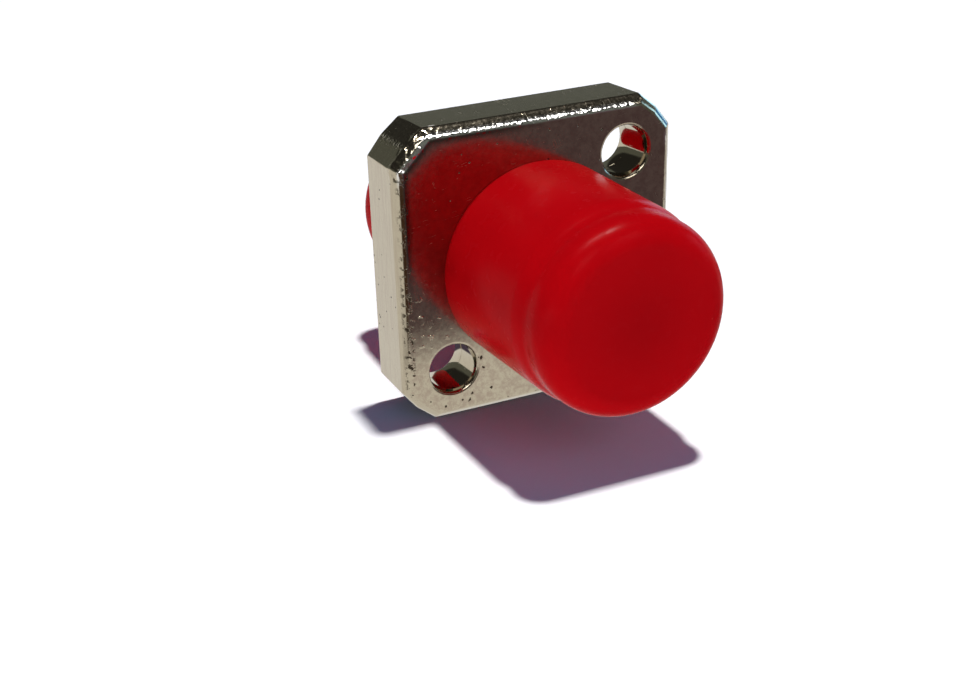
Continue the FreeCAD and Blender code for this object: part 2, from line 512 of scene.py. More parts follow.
PIT_RIM = 9.0  # how steep a pit's rim is
LEAST_SHARE = 0.001  # keeps a share of 0 from dividing by 0
SCRATCH_AXIS = (0.35, 0.85, 0.4)  # each family of scratches is turned about this
SCRATCH_STRETCH = (1.0, 0.06, 0.06)
SCRATCH_WIDTH = 0.022
RUN_FINENESS = 0.35  # of the noise that breaks the scratches into runs, against their own
RUN_RAREST = 0.8  # the level of that noise at which a run starts, for a share of 0
RUN_GAIN = 0.4  # how far a share of 1 lowers that level
RUN_FADE = 0.06
PITS = pits_effect()
SCRATCHES = scratches_effect()

EDGE_WEAR = (0.3, 0.75)  # pairs like this give the two distances between which a mask changes
FRONT_HALF = (-0.6, -1.0)  # along Y
INNER_EDGE = (0.1, 0.28)  # off the bevel's inner edge
# This bright line is partly wear and partly painted highlight: its pale colour whitens the highlight along the upper
# edge.
RUBBED_HIGHLIGHT_LINE = (0.08, 0.2)  # off the same edge
UPPER_EDGE = (4.2, 5.4)  # along Z
RIGHT_CORNER = (11.3, 11.8)  # the upper right corner, as z + x
LEFT_CORNER = (11.5, 11.9)  # the upper left corner, as z - x
RIDGE_LINE = (0.08, 0.3)  # off the ridge across a corner
RIDGE_END = (0.02, 0.2)  # from the rim
RAGGED_PATCH = 0.15  # each patch here is about the size of a noise's patches
RAGGED_REACH = (0.25, 0.0, 0.4)


def plate_places(tree, place):
    """Masks and distances that the plating's dirt, colour and relief share, from where a point of the body lies."""
    x, y, z = split(tree, place)
    across, along, up = (calc(tree, "ABSOLUTE", part) for part in (x, y, z))
    at = SimpleNamespace(x=x, y=y, z=z, leftward=calc(tree, "SUBTRACT", z, x))
    from_side = calc(tree, "SUBTRACT", FLANGE_HALF * MM, calc(tree, "MAXIMUM", across, up))
    corner_sum = calc(tree, "SUBTRACT", (2 * FLANGE_HALF - CORNER_CUT) * MM, calc(tree, "ADD", across, up))
    from_corner = calc(tree, "MAXIMUM", calc(tree, "MULTIPLY", corner_sum, math.sqrt(0.5)), 0.0)
    at.from_rim = calc(tree, "MINIMUM", from_side, from_corner)
    from_face = calc(tree, "ABSOLUTE", calc(tree, "SUBTRACT", FLANGE_FACE * MM, along))
    at.edge = within(tree, calc(tree, "ADD", from_face, at.from_rim), *EDGE_WEAR)
    at.front = beyond(tree, y, *FRONT_HALF)
    at.left_corner = beyond(tree, at.leftward, *LEFT_CORNER)
    off_bevel = calc(tree, "ABSOLUTE", calc(tree, "SUBTRACT", at.from_rim, EDGE_BEVEL * MM))
    at.inner_edge = calc(tree, "MULTIPLY", at.front, within(tree, off_bevel, *INNER_EDGE))
    off_right_corner = within(tree, calc(tree, "ADD", z, x), *RIGHT_CORNER)
    at.beaded = product(tree, at.inner_edge, beyond(tree, z, *UPPER_EDGE), off_right_corner)
    # Painted highlight, partly wear: the bright line along the upper inner edge, where the highlight falls.
    at.rubbed = calc(tree, "MULTIPLY", at.beaded, within(tree, off_bevel, *RUBBED_HIGHLIGHT_LINE))
    off_ridge = calc(tree, "ABSOLUTE", calc(tree, "SUBTRACT", across, up))
    on_side = within(tree, at.from_rim, *RIDGE_END)
    at.ridge = product(tree, within(tree, off_ridge, *RIDGE_LINE), at.left_corner, on_side)
    at.from_hole = from_hole_axis(tree, x, z)
    at.on_faces = calc(tree, "SUBTRACT", 1.0, hole_walls(tree, at.from_hole, along))
    wander = noise(tree, place, RAGGED_PATCH, output="Color")
    reach = tuple(part * MM for part in RAGGED_REACH)
    at.ragged = add(tree, "ShaderNodeVectorMath", {0: wander, 1: reach, 2: place}, operation="MULTIPLY_ADD").outputs[0]
    return at


WORN_PATCH = 1.4
PIT_KINDS = (  # cells to the metre, size in the cell, share of the cells, and what worn edges add to it
    (8000.0, 0.5, 0.006, 0.025),
    (3600.0, 0.32, 0.006, 0.02),
)
GRIME_PATCH = 0.24
GRIMY_SIDE = (-6.3, -6.5)  # along X: left of this, dirt sits along the bevel's inner edge
GRIMY_LOW = (3.0, -2.0)  # along Z: it is full at the bottom
GRIME_ABOVE = 0.5
CHIPS = (  # on the front face, as x and z
    (-3.09, -4.25),
    (-3.0, -4.75),
    (-2.61, -5.85),
    (-3.62, -5.99),
    (-3.78, -6.3),
)
CHIP_CORE = 0.0525
CHIP_REACH = 0.075


def plate_dirt(tree, place, at):
    """Pits, more of them along worn edges, grime up the left side of the front, and chips through the plating."""
    worn_edge = calc(tree, "MULTIPLY", at.edge, ramp(tree, noise(tree, place, WORN_PATCH, 3.0), 0.42, 0.62))
    grimy = product(tree, at.inner_edge, beyond(tree, at.x, *GRIMY_SIDE), beyond(tree, at.z, *GRIMY_LOW, GRIME_ABOVE))
    dirt = calc(tree, "MULTIPLY", grimy, ramp(tree, noise(tree, place, GRIME_PATCH, 3.0, 0.6), 0.54, 0.6))
    for cells, size, share, worn_share in PIT_KINDS:
        pit_share = calc(tree, "ADD", share, calc(tree, "MULTIPLY", worn_edge, worn_share))
        pits = placed(tree, PITS, "Mask", Vector=place, Cells=cells, Share=pit_share, Size=size)
        dirt = calc(tree, "MAXIMUM", dirt, pits)
    for x, z in CHIPS:
        chip = (x + RAGGED_REACH[0] / 2, -FLANGE_FACE, z + RAGGED_REACH[2] / 2)
        chipped = within(tree, away_from(tree, at.ragged, chip), CHIP_CORE, CHIP_REACH)
        dirt = calc(tree, "MAXIMUM", dirt, chipped)
    return dirt


NICKEL = (0.465, 0.41, 0.30, 1)
NICKEL_TARNISHED = (0.37, 0.30, 0.225, 1)
# Bright nickel for the line along the upper edge: partly polished wear, partly a painted highlight.
NICKEL_POLISHED_HIGHLIGHT = (0.80, 0.78, 0.74, 1)
DIRT = (0.06, 0.043, 0.028, 1)
FLECKS = {"Cells": 5200.0, "Share": 0.2, "Size": 0.45}
CLOUD_PATCH = 0.3
CLOUDS_FRONT = (-1.5, -1.59)  # along Y
CLOUDS_ELSEWHERE = 0.25
STREAK_PATCH = 0.12
STREAK_STRETCH = (0.08, 1.0, 0.08)  # long along the sides, fine across the flange's thickness
STREAK_REACH = (0.0, 0.3)  # from the rim
STREAK_SHARE = 0.45
DULL_START = (0.4, 0.5)  # from the rim: a dull line beside the bevel
DULL_END = (0.5, 0.85)
DULL_SHARE = 0.75
DULL_CORNER = (5.0, 9.0)  # towards the upper left corner, as z - x


def plate_colour(tree, place, at, dirt):
    """Clouds on the front face, streaks along the sides, a bright line at the top that is partly wear and partly
    painted highlight, and a dull one beside it.
    """
    cloudy = ramp(tree, noise(tree, place, CLOUD_PATCH, 5.0, 0.7), 0.36, 0.66)
    flecks = placed(tree, PITS, "Mask", Vector=at.ragged, **FLECKS)
    on_front = beyond(tree, at.y, *CLOUDS_FRONT, CLOUDS_ELSEWHERE)
    clouds = calc(tree, "MULTIPLY", calc(tree, "MAXIMUM", cloudy, flecks), on_front)
    streaky = ramp(tree, noise(tree, scaled(tree, place, STREAK_STRETCH), STREAK_PATCH, 3.0, 0.6), 0.42, 0.62)
    streaks = calc(tree, "MULTIPLY", streaky, within(tree, at.from_rim, *STREAK_REACH, STREAK_SHARE))
    tarnished = blended(tree, calc(tree, "MAXIMUM", clouds, streaks), NICKEL, NICKEL_TARNISHED)
    # Painted highlight, partly wear: the line along the upper edge goes over to bright nickel.
    rubbed = blended(tree, at.rubbed, tarnished, NICKEL_POLISHED_HIGHLIGHT)
    dull = product(
        tree,
        beyond(tree, at.from_rim, *DULL_START),
        within(tree, at.from_rim, *DULL_END, DULL_SHARE),
        beyond(tree, at.leftward, *DULL_CORNER),
        at.front,
    )
    return blended(tree, dirt, blended(tree, dull, rubbed, DIRT), DIRT)


WAVE_PATCH = 0.8
WAVE_DEPTH = 0.003
GRAIN_PATCH = 0.2
GRAIN_DEPTH = 0.0008
ROLLED_WIDTH = 2.2  # the faces fall away a little towards their edges
ROLLED_DEPTH = 0.045
BEAD_PATCH = 0.22
BEAD_DEPTH = 0.05
BEADS_ELSEWHERE = 0.06
DROP_PATCH = 0.4
DROP_DEPTH = 0.14
RAISED_TO = 0.2  # from the rim: drops stand up on the bevel only
NICK_PATCH = 0.15
NICK_DEPTH = 0.05
WORN_RIM_WIDTH = 0.16  # the front face falls into the screw holes
WORN_RIM_DEPTH = 0.06
PIT_DEPTH = 0.012
DENTS_PLACE = (-5.6, -1.6, -1.9)  # a patch of knocks on the front face, left of the cap
DENTS_CORE = 0.6
DENTS_REACH = 1.5
KNOCKS = {"Cells": 3600.0, "Share": 0.5, "Size": 0.42}
KNOCK_STRETCH = (0.6, 1.0, 1.0)
KNOCK_DEPTH = 0.03
SCRATCH_DEPTH = 0.0006


def plate_relief(tree, place, at, dirt, scratches):
    """Soft waves and rolled faces, beads and drops along the upper edge, worn rims, pits, knocks and scratches."""
    waves = relief(tree, calc(tree, "MULTIPLY", noise(tree, place, WAVE_PATCH), at.on_faces), WAVE_DEPTH)
    grain = relief(tree, calc(tree, "MULTIPLY", noise(tree, place, GRAIN_PATCH), at.on_faces), GRAIN_DEPTH, waves)
    inward = calc(tree, "SUBTRACT", 1.0, calc(tree, "DIVIDE", at.from_rim, ROLLED_WIDTH * MM), clamp=True)
    rolled = relief(tree, calc(tree, "SUBTRACT", 1.0, calc(tree, "POWER", inward, 2.0)), ROLLED_DEPTH, grain)
    bead_share = calc(tree, "MULTIPLY", at.edge, calc(tree, "MAXIMUM", at.beaded, BEADS_ELSEWHERE))
    beads = calc(tree, "MULTIPLY", bumps(tree, place, BEAD_PATCH, 1.0), bead_share)
    beaded = relief(tree, beads, BEAD_DEPTH, rolled)
    lumps = bumps(tree, place, DROP_PATCH, 0.0)
    raised = calc(tree, "MULTIPLY", calc(tree, "MAXIMUM", lumps, 0.0), within(tree, at.from_rim, RAISED_TO, EDGE_BEVEL))
    drops = calc(tree, "ADD", raised, calc(tree, "MINIMUM", lumps, 0.0))
    dripping = relief(tree, product(tree, drops, at.edge, at.front, at.left_corner), DROP_DEPTH, beaded)
    nicks = calc(tree, "MULTIPLY", bumps(tree, place, NICK_PATCH, 1.0), at.ridge)
    nicked = relief(tree, nicks, NICK_DEPTH, dripping)
    behind_face = calc(tree, "MAXIMUM", calc(tree, "ADD", at.y, FLANGE_FACE * MM), 0.0)
    past_rim = calc(tree, "ADD", calc(tree, "SUBTRACT", at.from_hole, HOLE_RADIUS * MM), behind_face)
    worn_rims = relief(tree, beyond(tree, past_rim, 0.0, WORN_RIM_WIDTH), WORN_RIM_DEPTH, nicked)
    pitted = relief(tree, calc(tree, "SUBTRACT", 1.0, dirt), PIT_DEPTH, worn_rims)
    knocks = placed(tree, PITS, "Mask", Vector=scaled(tree, at.ragged, KNOCK_STRETCH), **KNOCKS)
    dented = within(tree, away_from(tree, place, DENTS_PLACE), DENTS_CORE, DENTS_REACH)
    knocked = relief(tree, calc(tree, "MULTIPLY", knocks, dented), KNOCK_DEPTH, pitted)
    return relief(tree, calc(tree, "SUBTRACT", 1.0, scratches), SCRATCH_DEPTH, knocked)


PLATE_SCRATCHES = (
    {"Fineness": 3600.0, "Turn": 0.4, "Share": 0.5},
    {"Fineness": 5200.0, "Turn": 1.9, "Share": 0.5},
)
DRILLED_ROUGHNESS = 0.07
HAZE_PATCH = 0.12
HAZE_ROUGHNESS = (0.05, 0.12)  # what the faces add to it; scratches and dirt add more
SCRATCH_ROUGHNESS = 0.13
DIRT_ROUGHNESS = 0.35


def nickel_plate():
    """Bright nickel over a casting: hazy, scratched and pitted on its faces, and clean in the drilled screw holes."""
    material, tree, shader, place = new_material("nickel_plate")
    at = plate_places(tree, place)
    dirt = plate_dirt(tree, place, at)
    families = [placed(tree, SCRATCHES, "Mask", Vector=place, **family) for family in PLATE_SCRATCHES]
    scratches = calc(tree, "MAXIMUM", *families)
    plug(tree, shader.inputs["Base Color"], plate_colour(tree, place, at, dirt))
    shader.inputs["Metallic"].default_value = 1.0
    haze = ramp(tree, noise(tree, place, HAZE_PATCH, 3.0), 0.3, 0.7, *HAZE_ROUGHNESS)
    scuffed = calc(tree, "ADD", haze, calc(tree, "MULTIPLY", scratches, SCRATCH_ROUGHNESS))
    soiled = calc(tree, "ADD", scuffed, calc(tree, "MULTIPLY", dirt, DIRT_ROUGHNESS))
    rough = calc(tree, "ADD", DRILLED_ROUGHNESS, calc(tree, "MULTIPLY", soiled, at.on_faces))
    plug(tree, shader.inputs["Roughness"], rough)
    plug(tree, shader.inputs["Normal"], plate_relief(tree, place, at, dirt, scratches))
    return material


body = finished(body_mesh(), "plated_body", nickel_plate(), "adapter")
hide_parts("flange_body")

# Sleeve holders
# Two turned brass cups with a thin plate, pressed into the web from both sides until their collars meet it.
# Their noses have an inner lip that keeps the sleeve in, with a lead-in for the ferrule.
HOLDER_RADIUS = 2.2
HOLDER_BORE = 1.65
HOLDER_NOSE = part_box("rear_sleeve_holder")[1].y / MM
COLLAR_RADIUS = 2.8
COLLAR_END = 1.4
LIP_RADIUS = 1.35
LIP_THICKNESS = 0.6
LIP_LEAD_IN = 0.3
HOLDER_STEPS = 96
HOLDER_METAL = (0.70, 0.66, 0.57, 1)
HOLDER_SHADE = (0.60, 0.55, 0.45, 1)
HOLDER_STAIN_PATCH = 0.8
HOLDER_HAZE_PATCH = 0.3
HOLDER_ROUGHNESS = (0.2, 0.34)
HOLDER_SCRATCHES = {"Fineness": 2600.0, "Turn": 0.9, "Share": 0.5}
HOLDER_SCRATCH_ROUGHNESS = 0.15
TURNING_PITCH = 0.07
TURNING_DEPTH = 0.0012
SIDES = (("rear", 0), ("front", math.pi))  # name, and turn about Z from the rear


def turning_marks(tree, place):
    """Fine rings left by the tool, from the distance along and from the optical axis."""
    x, y, z = split(tree, place)
    travel = calc(tree, "ADD", y, hypotenuse(tree, x, z))
    return calc(tree, "SINE", calc(tree, "MULTIPLY", travel, math.tau / (TURNING_PITCH * MM)))


def holder_metal():
    """Turned brass under a thin plate, with fine rings from the tool and a few scratches."""
    material, tree, shader, place = new_material("holder_metal")
    stain = ramp(tree, noise(tree, place, HOLDER_STAIN_PATCH, 4.0), 0.35, 0.7)
    plug(tree, shader.inputs["Base Color"], blended(tree, stain, HOLDER_METAL, HOLDER_SHADE))
    shader.inputs["Metallic"].default_value = 1.0
    scratches = placed(tree, SCRATCHES, "Mask", Vector=place, **HOLDER_SCRATCHES)
    haze = ramp(tree, noise(tree, place, HOLDER_HAZE_PATCH, 3.0), 0.3, 0.7, *HOLDER_ROUGHNESS)
    rough = calc(tree, "ADD", haze, calc(tree, "MULTIPLY", scratches, HOLDER_SCRATCH_ROUGHNESS))
    plug(tree, shader.inputs["Roughness"], rough)
    plug(tree, shader.inputs["Normal"], relief(tree, turning_marks(tree, place), TURNING_DEPTH))
    return material


holder_finish = holder_metal()
for name, half_turn in SIDES:
    cup = turned(
        [
            (HOLDER_BORE, 0, 0),
            (HOLDER_RADIUS, 0, 0),
            (HOLDER_RADIUS, WEB_FACE, 0),
            (COLLAR_RADIUS, WEB_FACE, 0),
            (COLLAR_RADIUS, COLLAR_END, 0.08),
            (HOLDER_RADIUS, COLLAR_END, 0.08),
            (HOLDER_RADIUS, HOLDER_NOSE, 0.12),
            (LIP_RADIUS + LIP_LEAD_IN, HOLDER_NOSE, 0.05),
            (LIP_RADIUS, HOLDER_NOSE - LIP_LEAD_IN, 0.06),
            (LIP_RADIUS, HOLDER_NOSE - LIP_THICKNESS, 0.05),
            (HOLDER_BORE, HOLDER_NOSE - LIP_THICKNESS, 0),
        ],
        steps=HOLDER_STEPS,
    )
    swing(cup, half_turn)
    holder = finished(cup, name + "_holder", holder_finish, "adapter")
    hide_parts(name + "_sleeve_holder")

# Alignment sleeve
# A ground tube of white zirconia, slit along its whole length so that it grips both ferrules like a spring.
# It floats in the two holders, with the slit at the bottom.
SLEEVE_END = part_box("alignment_sleeve")[1].y / MM
SLEEVE_OUTER = 1.6
SLEEVE_INNER = 1.25
SLEEVE_SLIT = 0.5
SLEEVE_EASE = 0.12
SLEEVE_STEPS = 90
ZIRCONIA = (0.86, 0.85, 0.81, 1)
ZIRCONIA_SHADE = (0.78, 0.77, 0.72, 1)
ZIRCONIA_CLOUD_PATCH = 0.9
ZIRCONIA_SHEEN_PATCH = 0.2
ZIRCONIA_ROUGHNESS = (0.2, 0.32)
GROUND_PATCH = 0.04
GROUND_DEPTH = 0.0006


def sleeve_mesh():
    """The tube's section spun round from one side of the slit to the other, and closed at both sides."""
    bm = chain(
        [
            (SLEEVE_INNER, -SLEEVE_END, SLEEVE_EASE / 2),
            (SLEEVE_OUTER, -SLEEVE_END, SLEEVE_EASE),
            (SLEEVE_OUTER, SLEEVE_END, SLEEVE_EASE),
            (SLEEVE_INNER, SLEEVE_END, SLEEVE_EASE / 2),
        ],
        closed=True,
    )
    slit_angle = SLEEVE_SLIT / (SLEEVE_OUTER + SLEEVE_INNER)
    start = Matrix.Rotation(math.tau / 4 + slit_angle, 3, "Y")
    bmesh.ops.rotate(bm, verts=bm.verts, cent=(0, 0, 0), matrix=start)
    section = bm.edges[:]
    spun = bmesh.ops.spin(
        bm,
        geom=bm.verts[:] + section,
        cent=(0, 0, 0),
        axis=AXIS,
        angle=math.tau - 2 * slit_angle,
        steps=SLEEVE_STEPS,
    )
    last = [part for part in spun["geom_last"] if isinstance(part, bmesh.types.BMEdge)]
    for side in (section, last):
        bmesh.ops.edgeloop_fill(bm, edges=side)
    bmesh.ops.recalc_face_normals(bm, faces=bm.faces)
    return bm


def zirconia():
    """White ceramic, a little cloudy, with the fine grain that grinding leaves."""
    material, tree, shader, place = new_material("zirconia")
    cloud = ramp(tree, noise(tree, place, ZIRCONIA_CLOUD_PATCH, 3.0), 0.3, 0.75)
    plug(tree, shader.inputs["Base Color"], blended(tree, cloud, ZIRCONIA, ZIRCONIA_SHADE))
    sheen = ramp(tree, noise(tree, place, ZIRCONIA_SHEEN_PATCH), 0.3, 0.7, *ZIRCONIA_ROUGHNESS)
    plug(tree, shader.inputs["Roughness"], sheen)
    plug(tree, shader.inputs["Normal"], relief(tree, noise(tree, place, GROUND_PATCH), GROUND_DEPTH))
    return material


sleeve = finished(sleeve_mesh(), "split_sleeve", zirconia(), "adapter")
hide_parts("alignment_sleeve")

# Dust caps
# Soft red caps, moulded with a plain cavity and stretched over the barrels, one at the front and one at the back.
# Past the barrel's mouth nothing stretches them, so they draw in to a shallow groove before the rounded end.
CAP_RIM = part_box("rear_dust_cap")[1].x / MM
CAP_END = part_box("rear_dust_cap")[1].y / MM
CAP_BORE = 4.05
CAP_SHOULDER = 4.59
CAP_SHOULDER_PLACE = 8.0
CAP_GROOVE = 4.37
CAP_GROOVE_PLACE = 8.55
CAP_TIP = 4.42
CAP_TIP_PLACE = 9.0
CAP_TIP_BORE = 3.75
CAP_SEAT = 8.25
CAP_FLOOR = 9.4
CAP_END_ROUND = 1.2
CAP_STEPS = 192
CAP_RED = (0.405, 0.0012, 0.0035, 1)
CAP_DEEP_RED = (0.325, 0.001, 0.003, 1)
CAP_SPECK = (0.62, 0.12, 0.10, 1)
CAP_GLOSS = 0.013
CAP_CLOUD_PATCH = 2.2
CAP_CLOUD_SHARE = 0.3
CAP_DARK_MIDDLE_REACH = 3.6  # round the axis the end is darker
CAP_DARK_MIDDLE_SHARE = 0.9
CAP_SPECKS = {"Cells": 1500.0, "Share": 0.035, "Size": 0.1}
CAP_SCUFFS = {"Fineness": 2600.0, "Turn": 0.7, "Share": 0.4}
CAP_SHEEN_PATCH = 0.5
CAP_ROUGHNESS = (0.21, 0.28)
CAP_SCUFF_ROUGHNESS = 0.1
CAP_GRAIN_PATCH = 0.16
CAP_GRAIN_DEPTH = 0.002
CAP_SAG_PATCH = 2.5
CAP_SAG_DEPTH = 0.006
CAP_SCUFF_DEPTH = 0.001


def red_soft_plastic():
    """Soft moulded plastic: even red, a low sheen, a faint mould grain, light scuffs and a few pale specks."""
    material, tree, shader, place = new_material("red_soft_plastic")
    x, y, z = split(tree, place)
    cloud = ramp(tree, noise(tree, place, CAP_CLOUD_PATCH, 3.0), 0.3, 0.7, 0.0, CAP_CLOUD_SHARE)
    # The end's colour goes darker round the axis.
    thin = within(tree, hypotenuse(tree, x, z), 0.0, CAP_DARK_MIDDLE_REACH, CAP_DARK_MIDDLE_SHARE)
    specks = placed(tree, PITS, "Mask", Vector=place, **CAP_SPECKS)
    scuffs = placed(tree, SCRATCHES, "Mask", Vector=place, **CAP_SCUFFS)
    red = blended(tree, calc(tree, "MAXIMUM", cloud, thin), CAP_RED, CAP_DEEP_RED)
    plug(tree, shader.inputs["Base Color"], blended(tree, specks, red, CAP_SPECK))
    sheen = ramp(tree, noise(tree, place, CAP_SHEEN_PATCH, 3.0), 0.3, 0.7, *CAP_ROUGHNESS)
    rough = calc(tree, "ADD", sheen, calc(tree, "MULTIPLY", scuffs, CAP_SCUFF_ROUGHNESS))
    plug(tree, shader.inputs["Roughness"], rough)
    shader.inputs["Specular IOR Level"].default_value = CAP_GLOSS
    grain = relief(tree, noise(tree, place, CAP_GRAIN_PATCH, 3.0), CAP_GRAIN_DEPTH)
    sagging = relief(tree, noise(tree, place, CAP_SAG_PATCH, 1.0), CAP_SAG_DEPTH, grain)
    plug(tree, shader.inputs["Normal"], relief(tree, scuffs, CAP_SCUFF_DEPTH, sagging))
    return material


cap_finish = red_soft_plastic()
for name, half_turn in SIDES:
    cap_mesh = turned(
        [
            (0, CAP_END, 0),
            (CAP_TIP, CAP_END, CAP_END_ROUND),
            (CAP_TIP, CAP_TIP_PLACE, 0.18),
            (CAP_GROOVE, CAP_GROOVE_PLACE, 0.24),
            (CAP_SHOULDER, CAP_SHOULDER_PLACE, 0.34),
            (CAP_RIM, FLANGE_FACE, 0),
            (CAP_BORE, FLANGE_FACE, 0.08),
            (CAP_BORE, CAP_SEAT, 0.1),
            (CAP_TIP_BORE, CAP_SEAT, 0.1),
            (CAP_TIP_BORE, CAP_FLOOR, 0.5),
            (0, CAP_FLOOR, 0),
        ],
        closed=False,
        steps=CAP_STEPS,
    )
    swing(cap_mesh, half_turn)
    cap = finished(cap_mesh, name + "_cap_piece", cap_finish, name + "_cap")
    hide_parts(name + "_dust_cap")

# Studio
# A white floor under one high key light, with a bluish skylight in front and low fills for the cap. Reflections alone
# see the dark cloth and the cards that draw the plated faces and edges, and the strip overhead for the cap's shine.
FLOOR_SIZE = 3000
FLOOR_WHITE = (0.97, 0.97, 0.97, 1)
PAPER_PATCH = 30.0
PAPER_TONES = (0.96, 0.98)
PAPER_ROUGHNESS = 0.9
WORLD_WHITE = (1, 1, 1, 1)
SHADOW_LILAC = (0.042, 0.048, 0.112, 1)
KEY_FROM = (0.13, 0.02, 0.991)
KEY_STRENGTH = 3.25
KEY_SPREAD = math.radians(4)
LAMPS = (  # name, place, width and height, power, colour
    ("skylight", (60, -180, 120), (160, 120), 0.044, (0.42, 0.66, 1.0)),
    ("front_fill", (30, -198, 4), (120, 20), 0.065, (1.0, 1.0, 1.0)),
    ("side_fill", (-165, -70, 4), (120, 20), 0.095, (1.0, 1.0, 1.0)),
)
TENT_RADIUS = 260
TENT_RINGS = 24
TENT_LOWEST = -0.03  # shares of its radius
TENT_BLACK_FROM = 0.32
TENT_BLACK_FULL = 0.40
TENT_OPENING = 0.97
TENT_WHITE_TO = 0.11  # behind the object, a white strip above the floor
TENT_GREY = (0.135, 0.146, 0.128, 1)
TENT_BLACK = (0.028, 0.028, 0.026, 1)
MAT_DARK = (0.13, 0.092, 0.106, 1)
MAT_BROWN = (0.078, 0.043, 0.025, 1)
MAT_REACH = 270.0
MAT_GAP = 0.01  # above the floor
MAT_SPLIT = -13.0  # the side mat lies left of this, the front mat right of it
FRONT_MAT_START = -6.5
FRONT_MAT_FULL = -13.0
SIDE_MAT_SLOPE = 0.67  # the side mat's slanted edge, in Y for each step of X
SIDE_MAT_START = 9.0
SIDE_MAT_FULL = 0.5
SKY_BLUE = (0.05, 0.32, 0.95, 1)
SKY_WHITE = (0.4, 0.72, 1.0, 1)
CARDS = (  # name, place, width and height, colour, strength
    ("sky_blue", (158, 36, 20), (240, 28), SKY_BLUE, 0.8),
    ("sky_left", (149, -20, 30), (56, 42), SKY_WHITE, 3.0),
    ("sky_right", (129, 81, 30), (70, 42), SKY_WHITE, 3.0),
    ("corner_card", (-69, -142, 142), (66, 76), FLOOR_WHITE, 6.0),
    ("edge_card", (66, -148, 145), (84, 76), FLOOR_WHITE, 6.0),
    ("high_strip", (-28, 5, 200), (18, 84), FLOOR_WHITE, 90.0),
)
# A painted shadow: the colour that reflections see on the floor under the rear cap.
REAR_SHADOW = (0.09, 0.07, 0.11, 1)  # the floor under the rear cap, as the screw holes mirror it
REAR_SHADOW_SIDE = -5.4
REAR_SHADOW_START = 2.6
REAR_SHADOW_SOFT = 0.5
GLOW_LEFT = 0.05  # of a glow, by way of a matt surface


def fading(tree, strength):
    """A glow's strength for the first reflection; next to nothing is left by way of a matt surface."""
    bounces = add(tree, "ShaderNodeLightPath").outputs["Diffuse Depth"]
    return ramp(tree, bounces, 0.0, 1.0, strength, GLOW_LEFT)


def glow(name, strength=1.0):
    """A material that only glows, its node tree, the Object coordinates, and the socket for its colour."""
    material, tree, shader, place = new_material(name)
    tree.nodes.remove(shader)
    light = add(tree, "ShaderNodeEmission", {"Strength": fading(tree, strength)})
    tree.links.new(light.outputs[0], tree.nodes["Material Output"].inputs["Surface"])
    return material, tree, place, light.inputs["Color"]


def staged(bm, name, material):
    """A thing of the studio, in metres."""
    bmesh.ops.scale(bm, verts=bm.verts, vec=(MM, MM, MM))
    made = mesh_object(bm, name)
    made.data.materials.append(material)
    return made


def only_in_reflections(thing):
    thing.visible_camera = False
    thing.visible_diffuse = False
    thing.visible_shadow = False
    thing.visible_transmission = False


def sheet_mesh(width, length):
    bm = bmesh.new()
    bmesh.ops.create_grid(bm, x_segments=1, y_segments=1, size=0.5)
    bmesh.ops.scale(bm, verts=bm.verts, vec=(width, length, 1))
    return bm


def floor_paper():
    """White paper that takes the shadow; reflections see it as plain white, with a shadow painted in under the rear
    cap.
    """
    material, tree, shader, place = new_material("floor_paper")
    tone = ramp(tree, noise(tree, place, PAPER_PATCH), 0.3, 0.7, *PAPER_TONES)
    grey = add(tree, "ShaderNodeCombineColor", {0: tone, 1: tone, 2: tone}).outputs[0]
    plug(tree, shader.inputs["Base Color"], grey)
    shader.inputs["Roughness"].default_value = PAPER_ROUGHNESS
    shader.inputs["Specular IOR Level"].default_value = 0.0
    x, y, z = split(tree, place)
    # Where the painted shadow lies, under the rear cap and behind the flange.
    shaded = product(
        tree,
        beyond(tree, x, REAR_SHADOW_SIDE, REAR_SHADOW_SIDE + REAR_SHADOW_SOFT),
        beyond(tree, y, REAR_SHADOW_START, REAR_SHADOW_START + REAR_SHADOW_SOFT),
        calc(tree, "LESS_THAN", y, CAP_END * MM),
    )
    mirrored = {"Color": blended(tree, shaded, FLOOR_WHITE, REAR_SHADOW), "Strength": fading(tree, 1.0)}
    light = add(tree, "ShaderNodeEmission", mirrored).outputs[0]
    glossy = add(tree, "ShaderNodeLightPath").outputs["Is Glossy Ray"]
    seen = add(tree, "ShaderNodeMixShader", {0: glossy, 1: shader.outputs[0], 2: light}).outputs[0]
    tree.links.new(seen, tree.nodes["Material Output"].inputs["Surface"])
    return material


floor_level = cad_box[0].z / MM
floor_mesh = sheet_mesh(FLOOR_SIZE, FLOOR_SIZE)
bmesh.ops.translate(floor_mesh, verts=floor_mesh.verts, vec=(0, 0, floor_level))
staged(floor_mesh, "floor", floor_paper())


def tent_cloth():
    """Grey, with a white strip low at the back, and black from the height that the flange's top bevel mirrors."""
    material, tree, place, shade = glow("tent_cloth")
    x, y, z = split(tree, place)
    black = beyond(tree, z, TENT_RADIUS * TENT_BLACK_FROM, TENT_RADIUS * TENT_BLACK_FULL)
    cloth = blended(tree, black, TENT_GREY, TENT_BLACK)
    low = calc(tree, "LESS_THAN", z, TENT_RADIUS * TENT_WHITE_TO * MM)
    strip = calc(tree, "MULTIPLY", low, calc(tree, "GREATER_THAN", y, 0.0))
    plug(tree, shade, blended(tree, strip, cloth, FLOOR_WHITE))
    return material


